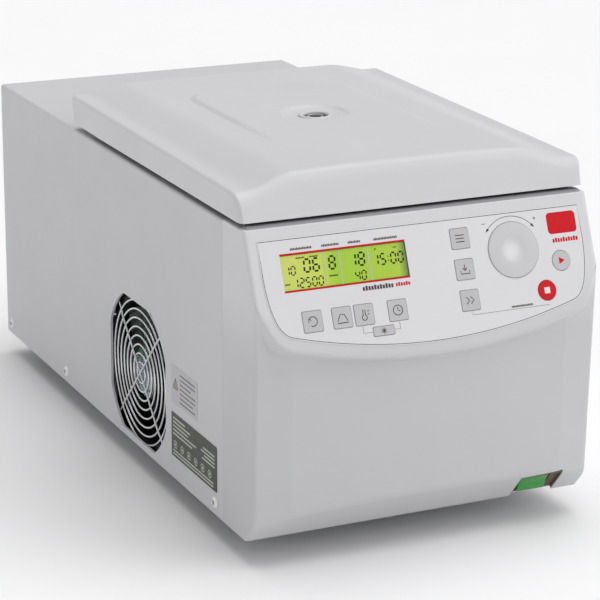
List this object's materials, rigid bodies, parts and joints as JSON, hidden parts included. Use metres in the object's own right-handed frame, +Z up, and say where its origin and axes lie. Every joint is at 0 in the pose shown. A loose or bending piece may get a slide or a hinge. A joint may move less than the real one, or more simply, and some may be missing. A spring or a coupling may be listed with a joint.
{
  "type": "laboratory centrifuge",
  "caption": "Refrigerated bench-top micro centrifuge with hinged lid, sloped key console, angle rotor in an insulated bowl and a side fan.",
  "frame": {"origin": "middle of the underside, on the bench", "axes": "+X to the right seen from the front, +Y to the back, +Z up"},
  "size_m": [0.2805, 0.5829, 0.29],
  "materials": {
    "cabinet_paint": "fine satin powder coat",
    "moulded_plastic": "fine satin moulded",
    "console_foil": "satin film",
    "key_plastic": "satin",
    "stop_red": "satin",
    "switch_green": "gloss",
    "display": "backlit liquid crystal",
    "black_plastic": "matte",
    "board_green": "solder resist",
    "rubber": "matte",
    "zinc_steel": "zinc plated",
    "stainless": "brushed",
    "copper": "drawn tube",
    "insulation_foam": "foamed",
    "machined_aluminium": "machined",
    "compressor_black": "satin paint",
    "plate_grey": "printed film",
    "sight_glass": "clear, dark behind"
  },
  "bodies": {
    "housing": {"base_pan": "zinc_steel", "cabinet_shell": "cabinet_paint", "rear_panel": "cabinet_paint", "front_fascia": "moulded_plastic", "rating_plate": "plate_grey", "power_inlet": "black_plastic", "power_supply": "machined_aluminium", "foot_front_left": "rubber", "foot_front_right": "rubber", "foot_rear_left": "rubber", "foot_rear_right": "rubber", "console_overlay": "console_foil", "display_window": "display", "display_module": "black_plastic", "control_board": "board_green", "power_switch_frame": "black_plastic", "hinge_bracket_left": "zinc_steel", "hinge_bracket_right": "zinc_steel", "hinge_pin_left": "zinc_steel", "hinge_pin_right": "zinc_steel", "lock_unit": "black_plastic", "chamber_bowl": "stainless", "chamber_insulation": "insulation_foam", "evaporator_coil": "copper", "drive_motor": "machined_aluminium", "motor_plate": "zinc_steel", "motor_damper_1": "rubber", "motor_damper_2": "rubber", "motor_damper_3": "rubber", "compressor": "compressor_black", "condenser": "machined_aluminium", "fan_frame": "black_plastic", "fan_guard": "zinc_steel"},
    "lid": {"lid_shell": "moulded_plastic", "lid_liner": "moulded_plastic", "lid_gasket": "rubber", "sight_port": "moulded_plastic", "sight_glass": "sight_glass", "lid_striker": "zinc_steel", "hinge_arm_left": "zinc_steel", "hinge_arm_right": "zinc_steel"},
    "rotor": {"motor_shaft": "zinc_steel", "rotor": "machined_aluminium", "rotor_lid": "machined_aluminium"},
    "rotor_knob": {"rotor_knob": "black_plastic"},
    "fan_impeller": {"fan_impeller": "black_plastic"},
    "jog_dial": {"jog_dial": "key_plastic"},
    "power_switch_rocker": {"power_switch_rocker": "switch_green"},
    "lock_hook": {"lock_hook": "zinc_steel"},
    "key_speed": {"key_speed": "key_plastic"},
    "key_ramp": {"key_ramp": "key_plastic"},
    "key_temperature": {"key_temperature": "key_plastic"},
    "key_time": {"key_time": "key_plastic"},
    "key_setup": {"key_setup": "key_plastic"},
    "key_store": {"key_store": "key_plastic"},
    "key_short_spin": {"key_short_spin": "key_plastic"},
    "key_precool": {"key_precool": "key_plastic"},
    "key_start": {"key_start": "key_plastic"},
    "key_stop": {"key_stop": "stop_red"}
  },
  "joints": [
    {"name": "lid_hinge", "type": "hinge", "parent": "housing", "child": "lid", "pos_m": [0, 0.089, 0.2624], "axis": [-1, 0, 0], "range_deg": [0, 75]},
    {"name": "rotor_spin", "type": "hinge", "parent": "housing", "child": "rotor", "pos_m": [0, -0.0745, 0.16], "axis": [0, 0, 1], "continuous": true},
    {"name": "rotor_knob_turn", "type": "hinge", "parent": "rotor", "child": "rotor_knob", "pos_m": [0, -0.0745, 0.24], "axis": [0, 0, 1], "range_deg": [0, 90]},
    {"name": "fan_spin", "type": "hinge", "parent": "housing", "child": "fan_impeller", "pos_m": [-0.12, -0.0425, 0.082], "axis": [1, 0, 0], "continuous": true},
    {"name": "jog_dial_turn", "type": "hinge", "parent": "housing", "child": "jog_dial", "pos_m": [0.071, -0.26481, 0.21901], "axis": [0, -0.9225, 0.3859], "continuous": true},
    {"name": "power_switch_tilt", "type": "hinge", "parent": "housing", "child": "power_switch_rocker", "pos_m": [0.0985, -0.26401, 0.03279], "axis": [1, 0, 0], "range_deg": [0, 14]},
    {"name": "lock_hook_turn", "type": "hinge", "parent": "housing", "child": "lock_hook", "pos_m": [0.007, -0.2037, 0.222], "axis": [0, -1, 0], "range_deg": [0, 18]},
    {"name": "key_speed_press", "type": "slide", "parent": "housing", "child": "key_speed", "axis": [0, 0.9225, -0.3859], "range_m": [0, 0.0008], "stiffness_N_per_m": 600},
    {"name": "key_ramp_press", "type": "slide", "parent": "housing", "child": "key_ramp", "axis": [0, 0.9225, -0.3859], "range_m": [0, 0.0008], "stiffness_N_per_m": 600},
    {"name": "key_temperature_press", "type": "slide", "parent": "housing", "child": "key_temperature", "axis": [0, 0.9225, -0.3859], "range_m": [0, 0.0008], "stiffness_N_per_m": 600},
    {"name": "key_time_press", "type": "slide", "parent": "housing", "child": "key_time", "axis": [0, 0.9225, -0.3859], "range_m": [0, 0.0008], "stiffness_N_per_m": 600},
    {"name": "key_setup_press", "type": "slide", "parent": "housing", "child": "key_setup", "axis": [0, 0.9225, -0.3859], "range_m": [0, 0.0008], "stiffness_N_per_m": 600},
    {"name": "key_store_press", "type": "slide", "parent": "housing", "child": "key_store", "axis": [0, 0.9225, -0.3859], "range_m": [0, 0.0008], "stiffness_N_per_m": 600},
    {"name": "key_short_spin_press", "type": "slide", "parent": "housing", "child": "key_short_spin", "axis": [0, 0.9225, -0.3859], "range_m": [0, 0.0008], "stiffness_N_per_m": 600},
    {"name": "key_precool_press", "type": "slide", "parent": "housing", "child": "key_precool", "axis": [0, 0.9225, -0.3859], "range_m": [0, 0.0008], "stiffness_N_per_m": 600},
    {"name": "key_start_press", "type": "slide", "parent": "housing", "child": "key_start", "axis": [0, 0.9225, -0.3859], "range_m": [0, 0.0008], "stiffness_N_per_m": 600},
    {"name": "key_stop_press", "type": "slide", "parent": "housing", "child": "key_stop", "axis": [0, 0.9225, -0.3859], "range_m": [0, 0.0008], "stiffness_N_per_m": 600}
  ]
}
